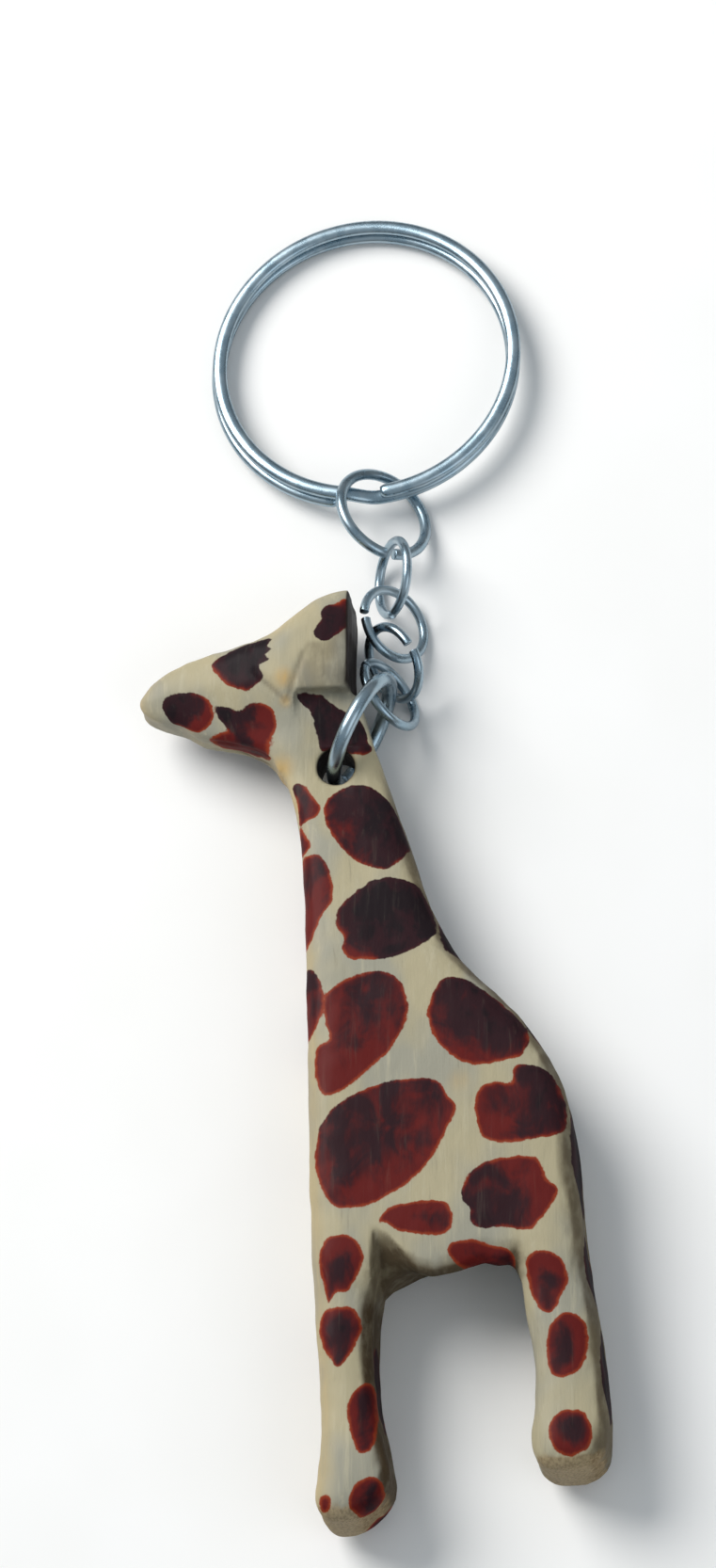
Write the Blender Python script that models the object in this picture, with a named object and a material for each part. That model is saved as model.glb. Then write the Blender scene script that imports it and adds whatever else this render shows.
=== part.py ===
"""Key ring with a carved and painted wooden giraffe, lying on its side as it rests on a table.

The giraffe is one flat piece of pale wood. A bail ring goes through a cross hole in its neck, and four
small links and a jump ring join the bail to a double-turn split key ring. Every ring is a bent wire
with two cut ends.

Frame: +Z is up off the table, +Y runs from the feet to the key ring, +X from the nose to the rump. The
origin is on the table, under the middle of the whole key ring. Lengths are written in millimetres and
angles in degrees.
"""

import math

import bmesh
import bpy
from mathutils import Euler, Matrix, Vector

MM = 0.001

# Driving dimensions of the carving
CARVING_LENGTH = 89.4  # sole of the front foot to tip of the ear
CARVING_WIDTH = 43.2  # nose to back of the rear leg
BODY_THICKNESS = 11.0
FOOT_THICKNESS = 10.0
NECK_THICKNESS = 8.0
EYELET_THICKNESS = 5.2  # neck at the cross hole
EYELET_SWELL = 0.5  # the neck is this much thicker where the bail's wire leaves the hole
EAR_THICKNESS = 9.0
NOSE_SHARE = 0.62  # thickness at the nose over thickness at the cheek
EDGE_RADIUS = 1.6
SAWN_EAR_DEPTH = 2.6  # wood sawn off behind the ear
NAPE_DROP = 0.9  # the nape lies this far under the ear block
BROW_GROOVE_DEPTH = 0.35
BROW_CUTTER_WIDTH = 3.0

# Driving dimensions of the rings
BAIL_OD = 12.0
BAIL_WIRE = 1.4
LINK_OD = 8.0
LINK_WIRE = 0.9
JUMP_OD = 10.25
JUMP_WIRE = 1.05
KEY_RING_OD = 30.0
KEY_BAND = 1.4  # radial width of the split ring's wire
KEY_COIL_HEIGHT = 1.0
KEY_COIL_GAP = 0.12

# Named clearances
BAIL_CLEARANCE = 0.45  # round the bail's wire in the cross hole
TABLE_CLEARANCE = 0.02  # under a ring that rests on the table
CUT_GAP = 0.3  # between the two cut ends of a closed ring

# Outline of the giraffe in its own drawing, clockwise from the nose: x, y, sharp corner
OUTLINE = (
    (-20.3, 7.6, False),
    (-19.8, 8.6, False),
    (-18.2, 10.2, False),
    (-15.8, 11.4, False),
    (-12.3, 12.4, False),
    (-8.0, 13.6, False),
    (-5.2, 15.7, False),
    (-3.0, 17.5, False),
    (-0.2, 18.1, False),
    (2.4, 18.1, True),
    (2.4, 11.5, True),
    (0.2, 9.0, False),
    (0.8, 6.2, False),
    (1.6, 3.4, False),
    (2.5, 0.8, False),
    (3.6, -2.6, False),
    (5.2, -7.2, False),
    (6.6, -11.9, False),
    (7.9, -15.3, False),
    (10.2, -19.4, False),
    (13.9, -23.2, False),
    (16.4, -26.2, False),
    (18.9, -30.7, False),
    (20.0, -34.5, False),
    (20.5, -40.5, False),
    (21.2, -47.5, False),
    (22.1, -53.0, False),
    (22.7, -59.0, False),
    (22.9, -63.4, False),
    (22.3, -65.9, False),
    (19.5, -67.1, False),
    (17.0, -66.6, False),
    (16.1, -64.6, False),
    (16.5, -61.0, False),
    (16.2, -55.8, False),
    (15.6, -52.0, False),
    (15.0, -48.6, False),
    (13.6, -46.8, False),
    (9.0, -47.3, False),
    (4.6, -48.3, False),
    (2.6, -50.0, False),
    (1.9, -53.8, False),
    (2.2, -60.0, False),
    (3.0, -64.6, False),
    (3.4, -67.8, False),
    (1.6, -70.2, False),
    (-1.6, -71.3, False),
    (-3.1, -70.0, False),
    (-3.1, -67.6, False),
    (-2.8, -64.0, False),
    (-3.1, -56.5, False),
    (-3.6, -48.0, False),
    (-3.9, -38.0, False),
    (-4.0, -26.0, False),
    (-4.3, -19.0, False),
    (-4.5, -12.0, False),
    (-5.2, -5.0, False),
    (-6.2, -1.2, False),
    (-7.6, 2.0, False),
    (-9.2, 3.4, False),
    (-12.4, 4.3, False),
    (-16.0, 5.2, False),
    (-19.2, 6.3, False),
)
OUTLINE_RESOLUTION = 3
OUTLINE_TOP = 18.1
OUTLINE_BOTTOM = -71.3
OUTLINE_NOSE = -20.3
OUTLINE_RUMP = 22.9

# Places in the same drawing
HOLE_SPOT = (-1.6, 0.4)
NAPE_LEVEL = 7.7  # lower end of the ear block
NAPE_BOTTOM = 2.5
NAPE_LEFT = -5.4  # where the nape's slope starts, on the cheek
NAPE_RIGHT = 4.4
SAWN_EAR_X = -0.3
CHEEK_X = -6.5  # in front of this the head thins towards the nose
BROW_GROOVE_FROM = (-9.2, 9.9)
BROW_GROOVE_TO = (-6.1, 6.6)

# Thickness along the carving: level in the drawing, thickness
THICKNESS_PROFILE = (
    (19.0, 0.80 * EAR_THICKNESS),
    (14.0, EAR_THICKNESS),
    (9.2, 0.96 * EAR_THICKNESS),
    (4.0, EYELET_THICKNESS + EYELET_SWELL),
    (0.0, EYELET_THICKNESS),
    (-3.0, EYELET_THICKNESS + 0.3),
    (-8.0, NECK_THICKNESS),
    (-14.0, NECK_THICKNESS + 1.0),
    (-21.0, 0.96 * BODY_THICKNESS),
    (-26.0, BODY_THICKNESS),
    (-46.0, BODY_THICKNESS),
    (-52.0, FOOT_THICKNESS),
    (-61.0, 0.94 * FOOT_THICKNESS),
    (-66.0, FOOT_THICKNESS),
    (-72.0, 0.94 * FOOT_THICKNESS),
)
PROFILE_STEPS = 3  # straight facets between two levels
HEAD_FACETS = 4
HOLE_SIDES = 24
CUTTER_MARGIN = 6.0  # a cutter stands this far out of the wood
WELD_DISTANCE = 0.01
PLANE_TOLERANCE = 0.0001
SHARP_ANGLE = 35.0

# Pose of each ring of the chain, from the bail to the key ring: how far its centre is from the one
# before, over the sum of their mean radii, its heading in plan, its pitch about X, its roll about Y
# and the angle round the ring where its wire is cut, or where the split ring's upper coil ends
CHAIN = (
    ("chain_link_1", 0.567, 62.5, -37.0, 53.0, 150.0),
    ("chain_link_2", 0.453, 83.0, 43.0, -44.0, 20.0),
    ("chain_link_3", 0.577, 90.0, -10.0, 44.5, 165.0),
    ("chain_link_4", 0.634, 90.5, 1.0, -61.5, 250.0),
    ("jump_ring", 0.817, 98.0, -18.0, 35.5, 262.0),
    ("key_ring", 0.883, 96.0, -3.0, -2.0, -98.0),
)
BAIL_HEADING = 61.3  # the way the bail's plane runs, seen from above
BAIL_CUT = 185.0
KEY_RING_RAMP = 26.0  # arc over which the split ring's wire steps down to the lower coil
LINK_POINTS = 30
BAIL_POINTS = 36
JUMP_POINTS = 34
KEY_POINTS_PER_TURN = 44
KEY_SECTION_SIDES = 10
WIRE_BEVEL = 2

MIDDLE = BODY_THICKNESS / 2
SCALE_Y = CARVING_LENGTH / (OUTLINE_TOP - OUTLINE_BOTTOM)
SCALE_X = CARVING_WIDTH / (OUTLINE_RUMP - OUTLINE_NOSE)


def clear_scene():
    for thing in list(bpy.data.objects):
        bpy.data.objects.remove(thing, do_unlink=True)


def new_collection(name):
    group = bpy.data.collections.new(name)
    bpy.context.scene.collection.children.link(group)
    return group


def new_object(name, data, group):
    thing = bpy.data.objects.new(name, data)
    group.objects.link(thing)
    return thing


def plain_material(name, colour, roughness, metallic):
    material = bpy.data.materials.new(name)
    material.use_nodes = True
    shader = material.node_tree.nodes["Principled BSDF"]
    shader.inputs["Base Color"].default_value = (*colour, 1.0)
    shader.inputs["Roughness"].default_value = roughness
    shader.inputs["Metallic"].default_value = metallic
    material.diffuse_color = (*colour, 1.0)
    return material


def scaled(x, y):
    """A place in the drawing, in millimetres on the carving."""
    return x * SCALE_X, y * SCALE_Y


def smooth_step(share):
    share = min(max(share, 0.0), 1.0)
    return share * share * (3.0 - 2.0 * share)


def thickness_at(level):
    """Thickness of the carving at a level of the drawing, with soft bends at the listed levels."""
    if level >= THICKNESS_PROFILE[0][0]:
        return THICKNESS_PROFILE[0][1]
    for (top, above), (bottom, below) in zip(THICKNESS_PROFILE, THICKNESS_PROFILE[1:]):
        if bottom <= level <= top:
            share = smooth_step((top - level) / (top - bottom))
            return above + (below - above) * share
    return THICKNESS_PROFILE[-1][1]


def head_share(x, level):
    """The head thins from the cheek to the nose."""
    if level < 2.0 or x > CHEEK_X:
        return 1.0
    share = (CHEEK_X - x) / (CHEEK_X - OUTLINE_NOSE)
    return 1.0 - (1.0 - NOSE_SHARE) * min(share, 1.0)


def curve_to_mesh(thing, group):
    """A mesh object with the curve's shape and its loose caps welded; the curve is removed."""
    depsgraph = bpy.context.evaluated_depsgraph_get()
    mesh = bpy.data.meshes.new_from_object(thing.evaluated_get(depsgraph))
    work = bmesh.new()
    work.from_mesh(mesh)
    bmesh.ops.remove_doubles(work, verts=work.verts, dist=WELD_DISTANCE * MM)
    bmesh.ops.recalc_face_normals(work, faces=work.faces)
    work.to_mesh(mesh)
    work.free()
    name = thing.name
    place = thing.matrix_world.copy()
    bpy.data.objects.remove(thing, do_unlink=True)
    solid = new_object(name, mesh, group)
    solid.matrix_world = place
    return solid


def outline_slab(group):
    """The outline as a slab with rounded edges, as thick as the body."""
    curve = bpy.data.curves.new("giraffe_outline", "CURVE")
    curve.dimensions = "2D"
    curve.fill_mode = "BOTH"
    curve.resolution_u = OUTLINE_RESOLUTION
    curve.extrude = (BODY_THICKNESS / 2 - EDGE_RADIUS) * MM
    curve.bevel_depth = EDGE_RADIUS * MM
    curve.bevel_resolution = 2
    curve.offset = -EDGE_RADIUS * MM
    spline = curve.splines.new("BEZIER")
    spline.bezier_points.add(len(OUTLINE) - 1)
    spline.use_cyclic_u = True
    for point, (x, y, sharp) in zip(spline.bezier_points, OUTLINE):
        across, along = scaled(x, y)
        point.co = (across * MM, along * MM, 0.0)
        handle = "VECTOR" if sharp else "AUTO"
        point.handle_left_type = handle
        point.handle_right_type = handle
    slab = new_object("giraffe_carving", curve, group)
    bpy.context.view_layer.update()
    return curve_to_mesh(slab, group)


def cut_across(work, place, normal):
    """Adds edges to the mesh where a plane crosses it."""
    geometry = work.verts[:] + work.edges[:] + work.faces[:]
    bmesh.ops.bisect_plane(
        work, geom=geometry, dist=PLANE_TOLERANCE * MM, plane_co=place, plane_no=normal
    )


def shape_thickness(slab):
    """Thins the slab towards the neck, head and feet."""
    work = bmesh.new()
    work.from_mesh(slab.data)
    for (top, _), (bottom, _) in zip(THICKNESS_PROFILE, THICKNESS_PROFILE[1:]):
        for step in range(PROFILE_STEPS):
            level = top + (bottom - top) * step / PROFILE_STEPS
            cut_across(work, (0, level * SCALE_Y * MM, 0), (0, 1, 0))
    for step in range(HEAD_FACETS):
        x = CHEEK_X + (OUTLINE_NOSE - CHEEK_X) * step / HEAD_FACETS
        cut_across(work, (x * SCALE_X * MM, 0, 0), (1, 0, 0))
    bmesh.ops.triangulate(work, faces=work.faces[:])
    for vert in work.verts:
        x = vert.co.x / MM / SCALE_X
        level = vert.co.y / MM / SCALE_Y
        share = thickness_at(level) / BODY_THICKNESS * head_share(x, level)
        vert.co.z = vert.co.z * share + MIDDLE * MM
    work.to_mesh(slab.data)
    work.free()


def hide_cutter(cutter):
    cutter.hide_render = True
    cutter.display_type = "WIRE"


def box_cutter(name, size, place, rotation, group):
    mesh = bpy.data.meshes.new(name)
    work = bmesh.new()
    bmesh.ops.create_cube(work, size=1.0)
    bmesh.ops.scale(work, verts=work.verts, vec=Vector(size) * MM)
    work.to_mesh(mesh)
    work.free()
    cutter = new_object(name, mesh, group)
    cutter.location = Vector(place) * MM
    cutter.rotation_euler = rotation
    hide_cutter(cutter)
    return cutter


def round_cutter(name, diameter, length, place, group):
    mesh = bpy.data.meshes.new(name)
    work = bmesh.new()
    radius = diameter / 2 * MM
    bmesh.ops.create_cone(
        work, cap_ends=True, segments=HOLE_SIDES, radius1=radius, radius2=radius, depth=length * MM
    )
    work.to_mesh(mesh)
    work.free()
    cutter = new_object(name, mesh, group)
    cutter.location = Vector(place) * MM
    hide_cutter(cutter)
    return cutter


def subtract(solid, cutter):
    cut = solid.modifiers.new(cutter.name, "BOOLEAN")
    cut.operation = "DIFFERENCE"
    cut.solver = "EXACT"
    cut.object = cutter


def hole_centre():
    """Middle of the cross hole through the neck."""
    return Vector((*scaled(*HOLE_SPOT), MIDDLE))


def bail_centre():
    """The bail stands on edge on the table, as high as the carving's middle or a little higher."""
    mean_radius = (BAIL_OD - BAIL_WIRE) / 2
    height = max(MIDDLE, BAIL_OD / 2 + TABLE_CLEARANCE)
    along = mean_radius - bail_bow(height) / 2
    heading = math.radians(BAIL_HEADING)
    hole = hole_centre()
    x = hole.x + along * math.cos(heading)
    y = hole.y + along * math.sin(heading)
    return Vector((x, y, height))


def bail_bow(height):
    """How far the bail's wire bows between the middle and the mouths of the cross hole."""
    mean_radius = (BAIL_OD - BAIL_WIRE) / 2
    reach = (EYELET_THICKNESS + EYELET_SWELL) / 2 + abs(height - MIDDLE)
    return mean_radius - math.sqrt(mean_radius**2 - reach**2)


def hole_diameter():
    return bail_bow(bail_centre().z) + BAIL_WIRE + 2 * BAIL_CLEARANCE


def sawn_ear_cutter(group):
    """The back of the ear is sawn off flat."""
    left = SAWN_EAR_X * SCALE_X
    bottom = NAPE_LEVEL * SCALE_Y
    top = OUTLINE_TOP * SCALE_Y + CUTTER_MARGIN
    width = SAWN_EAR_DEPTH + CUTTER_MARGIN
    size = (width, top - bottom, 2 * BODY_THICKNESS)
    place = (left + width / 2, (top + bottom) / 2, MIDDLE)
    return box_cutter("sawn_ear_cutter", size, place, (0, 0, 0), group)


def side_name(side):
    return "top" if side > 0 else "under"


def nape_cutter(side, group):
    """The nape drops from the cheek to the back, on each side of the neck, under the ear block."""
    left = NAPE_LEFT * SCALE_X
    run = NAPE_RIGHT * SCALE_X - left
    slope = math.atan2(NAPE_DROP, SAWN_EAR_X * SCALE_X - left) * side
    bottom = NAPE_BOTTOM * SCALE_Y
    top = NAPE_LEVEL * SCALE_Y
    surface = thickness_at((NAPE_LEVEL + NAPE_BOTTOM) / 2) / 2
    middle = Vector((run / 2, 0, side * CUTTER_MARGIN / 2))
    middle.rotate(Euler((0, slope, 0)))
    place = middle + Vector((left, (bottom + top) / 2, MIDDLE + side * surface))
    size = (run, top - bottom, CUTTER_MARGIN)
    name = f"nape_cutter_{side_name(side)}"
    return box_cutter(name, size, place, (0, slope, 0), group)


def brow_cutter(side, group):
    """A V groove between the brow and the ear, on each side of the head."""
    start = Vector(scaled(*BROW_GROOVE_FROM))
    end = Vector(scaled(*BROW_GROOVE_TO))
    middle = (start + end) / 2
    heading = math.atan2(end.y - start.y, end.x - start.x)
    x = middle.x / SCALE_X
    level = middle.y / SCALE_Y
    surface = thickness_at(level) / 2 * head_share(x, level)
    lift = BROW_CUTTER_WIDTH / math.sqrt(2) - BROW_GROOVE_DEPTH
    place = (middle.x, middle.y, MIDDLE + side * (surface + lift))
    size = ((end - start).length, BROW_CUTTER_WIDTH, BROW_CUTTER_WIDTH)
    on_edge = Matrix.Rotation(math.radians(45), 3, "X")
    turn = Matrix.Rotation(heading, 3, "Z") @ on_edge
    return box_cutter(f"brow_cutter_{side_name(side)}", size, place, turn.to_euler(), group)


def make_carving(parts, cutters, paint):
    carving = outline_slab(parts)
    shape_thickness(carving)
    depth = 2 * BODY_THICKNESS
    cross_hole = round_cutter("cross_hole_cutter", hole_diameter(), depth, hole_centre(), cutters)
    subtract(carving, cross_hole)
    subtract(carving, sawn_ear_cutter(cutters))
    for side in (1, -1):
        subtract(carving, nape_cutter(side, cutters))
        subtract(carving, brow_cutter(side, cutters))
    carving.data.materials.clear()
    carving.data.materials.append(paint)
    return carving


def mean_radius_of(name):
    if name == "jump_ring":
        return (JUMP_OD - JUMP_WIRE) / 2
    if name == "key_ring":
        return (KEY_RING_OD - KEY_BAND) / 2
    return (LINK_OD - LINK_WIRE) / 2


def half_height_of(name):
    """Half the height of a ring's wire, across its plane."""
    if name == "jump_ring":
        return JUMP_WIRE / 2
    if name == "key_ring":
        return KEY_COIL_HEIGHT + KEY_COIL_GAP / 2
    return LINK_WIRE / 2


def ring_turn(pitch, roll):
    """Rotation that leans a flat ring by a pitch about X, after a roll about Y."""
    lean = Matrix.Rotation(math.radians(pitch), 3, "X")
    return lean @ Matrix.Rotation(math.radians(roll), 3, "Y")


def resting_height(radius, half_height, turn):
    """Height of the centre of a leaning ring whose lowest point is on the table."""
    up = turn.col[2].z
    return radius * math.sqrt(1.0 - up * up) + half_height + TABLE_CLEARANCE


def chain_poses():
    """Each ring's centre and rotation, worked out one after another from the bail."""
    poses = {}
    centre = bail_centre()
    radius = (BAIL_OD - BAIL_WIRE) / 2
    for name, spacing, heading, pitch, roll, _ in CHAIN:
        next_radius = mean_radius_of(name)
        step = spacing * (radius + next_radius)
        turn = ring_turn(pitch, roll)
        angle = math.radians(heading)
        centre = Vector(
            (
                centre.x + step * math.cos(angle),
                centre.y + step * math.sin(angle),
                resting_height(next_radius, half_height_of(name), turn),
            )
        )
        poses[name] = (centre, turn)
        radius = next_radius
    return poses


def wire_curve(name, points, bevel_depth):
    """An open wire along the points, with filled ends."""
    curve = bpy.data.curves.new(name, "CURVE")
    curve.dimensions = "3D"
    curve.twist_mode = "Z_UP"
    curve.bevel_depth = bevel_depth * MM
    curve.bevel_resolution = WIRE_BEVEL
    curve.use_fill_caps = True
    spline = curve.splines.new("POLY")
    spline.points.add(len(points) - 1)
    for point, place in zip(spline.points, points):
        point.co = (place[0] * MM, place[1] * MM, place[2] * MM, 1.0)
    return curve


def cut_ring_points(mean_radius, cut_angle, count):
    """Points round a ring that is cut open at one angle."""
    half_gap = math.degrees(CUT_GAP / mean_radius) / 2
    start = cut_angle + half_gap
    sweep = 360.0 - 2 * half_gap
    places = []
    for step in range(count):
        angle = math.radians(start + sweep * step / (count - 1))
        places.append((mean_radius * math.cos(angle), mean_radius * math.sin(angle), 0.0))
    return places


def key_ring_points(start):
    """A wire that goes almost twice round: the upper coil, a short ramp down, the lower coil."""
    mean_radius = (KEY_RING_OD - KEY_BAND) / 2
    level = (KEY_COIL_HEIGHT + KEY_COIL_GAP) / 2
    end_gap = math.degrees(CUT_GAP / mean_radius)
    ramp_end = start + 360.0 - end_gap
    ramp_start = ramp_end - KEY_RING_RAMP
    end = ramp_start + 360.0 - end_gap
    count = round((end - start) / 360.0 * KEY_POINTS_PER_TURN)
    places = []
    for step in range(count + 1):
        angle = start + (end - start) * step / count
        share = smooth_step((angle - ramp_start) / (ramp_end - ramp_start))
        height = level * (1.0 - 2.0 * share)
        around = math.radians(angle)
        places.append((mean_radius * math.cos(around), mean_radius * math.sin(around), height))
    return places


def key_ring_profile(group):
    """Section of the split ring's wire: an oval, wider than it is high."""
    curve = bpy.data.curves.new("key_ring_profile", "CURVE")
    curve.dimensions = "2D"
    curve.fill_mode = "NONE"
    spline = curve.splines.new("POLY")
    count = KEY_SECTION_SIDES
    spline.points.add(count - 1)
    spline.use_cyclic_u = True
    for number, point in enumerate(spline.points):
        angle = 2 * math.pi * (number + 0.5) / count
        across = KEY_BAND / 2 * math.cos(angle) / math.cos(math.pi / count)
        up = KEY_COIL_HEIGHT / 2 * math.sin(angle)
        point.co = (across * MM, up * MM, 0.0, 1.0)
    profile = new_object("key_ring_profile", curve, group)
    hide_cutter(profile)
    return profile


def place_on_pivot(ring, pivot, centre, turn, group):
    """Hangs the ring on an empty that stands on its hinge."""
    hinge = new_object(f"{ring.name}_pivot", None, group)
    hinge.empty_display_size = 2 * MM
    hinge.location = pivot * MM
    ring.parent = hinge
    ring.location = (centre - pivot) * MM
    ring.rotation_euler = turn.to_euler()


def far_point(centre, turn, radius, towards):
    """The point of a ring that is furthest towards another ring."""
    normal = turn.col[2]
    way = towards - centre
    way = way - normal * way.dot(normal)
    return centre + way.normalized() * radius


def make_bail(parts, guides, steel):
    mean_radius = (BAIL_OD - BAIL_WIRE) / 2
    places = cut_ring_points(mean_radius, BAIL_CUT, BAIL_POINTS)
    bail = new_object("bail_ring", wire_curve("bail_ring", places, BAIL_WIRE / 2), parts)
    bail.data.materials.append(steel)
    stand_up = Matrix.Rotation(math.radians(90), 3, "X")
    upright = Matrix.Rotation(math.radians(BAIL_HEADING), 3, "Z") @ stand_up
    place_on_pivot(bail, hole_centre(), bail_centre(), upright, guides)
    return upright


def make_chain(parts, guides, steel, bail_turn):
    """The four links, the jump ring and the split key ring."""
    poses = chain_poses()
    before = (bail_centre(), bail_turn, (BAIL_OD - BAIL_WIRE) / 2)
    for name, _, _, _, _, cut in CHAIN:
        centre, turn = poses[name]
        radius = mean_radius_of(name)
        if name == "key_ring":
            curve = wire_curve(name, key_ring_points(cut), 0.0)
            curve.bevel_mode = "OBJECT"
            curve.bevel_object = key_ring_profile(guides)
        elif name == "jump_ring":
            places = cut_ring_points(radius, cut, JUMP_POINTS)
            curve = wire_curve(name, places, JUMP_WIRE / 2)
        else:
            places = cut_ring_points(radius, cut, LINK_POINTS)
            curve = wire_curve(name, places, LINK_WIRE / 2)
        ring = new_object(name, curve, parts)
        if name == "key_ring":
            bpy.context.view_layer.update()
            ring = curve_to_mesh(ring, parts)
        ring.data.materials.clear()
        ring.data.materials.append(steel)
        pivot = far_point(*before, centre)
        place_on_pivot(ring, pivot, centre, turn, guides)
        before = (centre, turn, radius)


def world_box(parts):
    """Lowest and highest corners of the finished pieces."""
    bpy.context.view_layer.update()
    depsgraph = bpy.context.evaluated_depsgraph_get()
    low = Vector((1e9, 1e9, 1e9))
    high = -low
    for thing in parts.objects:
        final = thing.evaluated_get(depsgraph)
        mesh = final.to_mesh()
        for vert in mesh.vertices:
            place = final.matrix_world @ vert.co
            low = Vector(map(min, low, place))
            high = Vector(map(max, high, place))
        final.to_mesh_clear()
    return low, high


def stand_on_origin(parts):
    """Moves everything so that the origin is on the table under the middle of the box."""
    low, high = world_box(parts)
    shift = Vector(((low.x + high.x) / 2, (low.y + high.y) / 2, low.z))
    for thing in bpy.data.objects:
        if thing.parent is None:
            thing.location -= shift


def main():
    clear_scene()
    parts = new_collection("giraffe_key_ring")
    guides = new_collection("cutters_and_guides")
    painted_wood = plain_material("painted_wood", (0.47, 0.43, 0.29), 0.35, 0.0)
    steel = plain_material("plated_steel", (0.55, 0.60, 0.64), 0.2, 1.0)
    carving = make_carving(parts, guides, painted_wood)
    bail_turn = make_bail(parts, guides, steel)
    make_chain(parts, guides, steel, bail_turn)
    stand_on_origin(parts)
    carving.data.shade_smooth()
    carving.data.set_sharp_from_angle(angle=math.radians(SHARP_ANGLE))


main()
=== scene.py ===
"""Looks of the carved giraffe key ring: painted and varnished wood, and bright plated steel rings.

The giraffe's surface is worked in the millimetres of its own drawing, where x runs from the nose to the
rump, y from the feet to the ear and z up off the table. Every place below is in that drawing.
"""

import math

import bmesh
import bpy
import numpy as np
from mathutils import Matrix, Vector, kdtree, noise


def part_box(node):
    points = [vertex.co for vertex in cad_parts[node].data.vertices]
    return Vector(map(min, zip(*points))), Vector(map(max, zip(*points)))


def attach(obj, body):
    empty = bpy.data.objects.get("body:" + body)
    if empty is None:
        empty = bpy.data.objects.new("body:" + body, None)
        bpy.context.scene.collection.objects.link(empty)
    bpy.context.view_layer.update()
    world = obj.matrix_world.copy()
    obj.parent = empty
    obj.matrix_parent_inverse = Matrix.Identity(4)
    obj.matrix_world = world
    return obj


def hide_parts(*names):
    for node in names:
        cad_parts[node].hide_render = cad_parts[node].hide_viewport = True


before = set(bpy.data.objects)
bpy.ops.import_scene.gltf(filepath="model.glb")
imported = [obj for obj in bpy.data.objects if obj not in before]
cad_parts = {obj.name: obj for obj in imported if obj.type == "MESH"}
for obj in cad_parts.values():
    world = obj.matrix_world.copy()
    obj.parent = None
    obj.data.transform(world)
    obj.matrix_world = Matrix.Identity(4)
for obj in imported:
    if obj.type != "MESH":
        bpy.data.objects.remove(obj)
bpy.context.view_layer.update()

MM = 0.001

# The drawing of the giraffe
NOSE_EDGE = -20.3
REAR_FOOT_BACK = 22.9
EAR_TOP = 18.1
HOLE_SPOT = (-1.6, 0.4)
MIDDLE = 5.5  # half the body's thickness

# Surface of the carving
VOXEL = 0.25
SMOOTHING_PASSES = 6
CROWN = 0.55  # how far the broad sides fall away towards their edges
CROWN_WIDTH = 4.0
HAND_WAVE = 0.10
HAND_WAVE_LENGTH = 4.5
FACET_DEPTH = 0.16
FACET_SIZE = 3.2

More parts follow.
